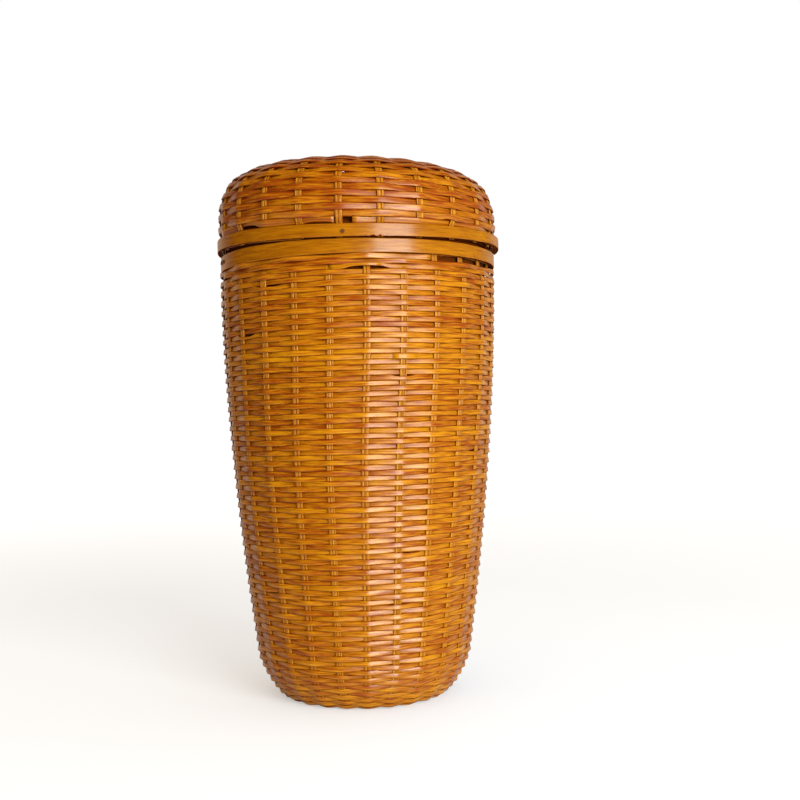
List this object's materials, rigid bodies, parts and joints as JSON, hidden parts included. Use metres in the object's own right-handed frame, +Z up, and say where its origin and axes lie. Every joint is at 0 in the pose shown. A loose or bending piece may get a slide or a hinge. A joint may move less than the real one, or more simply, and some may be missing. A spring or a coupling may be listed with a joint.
{
  "type": "lidded woven bamboo basket",
  "caption": "Tall tapering round basket of woven bamboo with a lift-off lid that slips over an inner collar.",
  "frame": {"origin": "on the floor under the middle of the base, with the lid closed", "axes": "+Z up along the basket's axis, -Y towards the side that the picture shows, +X to the right there"},
  "size_m": [0.1155, 0.1151, 0.2118],
  "materials": {
    "weaver": "lacquered honey-brown bamboo splint",
    "stake": "lacquered bamboo strip",
    "hoop": "smooth glossy bent bamboo",
    "collar": "satin bent bamboo, darker",
    "nail": "dark iron"
  },
  "bodies": {
    "basket": {"base_weavers": "weaver", "lower_wall_weavers": "weaver", "middle_wall_weavers": "weaver", "upper_wall_weavers": "weaver", "body_stake_a1": "stake", "body_stake_a2": "stake", "body_stake_a3": "stake", "body_stake_a4": "stake", "body_stake_a5": "stake", "body_stake_a6": "stake", "body_stake_b1": "stake", "body_stake_b2": "stake", "body_stake_b3": "stake", "body_stake_b4": "stake", "body_stake_b5": "stake", "body_stake_b6": "stake", "body_stake_odd": "stake", "body_hoop": "hoop", "collar": "collar", "body_hoop_nail_1": "nail", "body_hoop_nail_2": "nail"},
    "lid": {"lid_crown_weavers": "weaver", "lid_side_weavers": "weaver", "lid_stake_a1": "stake", "lid_stake_a2": "stake", "lid_stake_a3": "stake", "lid_stake_a4": "stake", "lid_stake_a5": "stake", "lid_stake_a6": "stake", "lid_stake_b1": "stake", "lid_stake_b2": "stake", "lid_stake_b3": "stake", "lid_stake_b4": "stake", "lid_stake_b5": "stake", "lid_stake_odd": "stake", "lid_hoop": "hoop", "lid_inner_hoop": "collar", "lid_hoop_nail": "nail"}
  },
  "joints": [
    {"name": "lid_lift", "type": "slide", "parent": "basket", "child": "lid", "axis": [0, 0, 1], "range_m": [0, 0.13]}
  ]
}
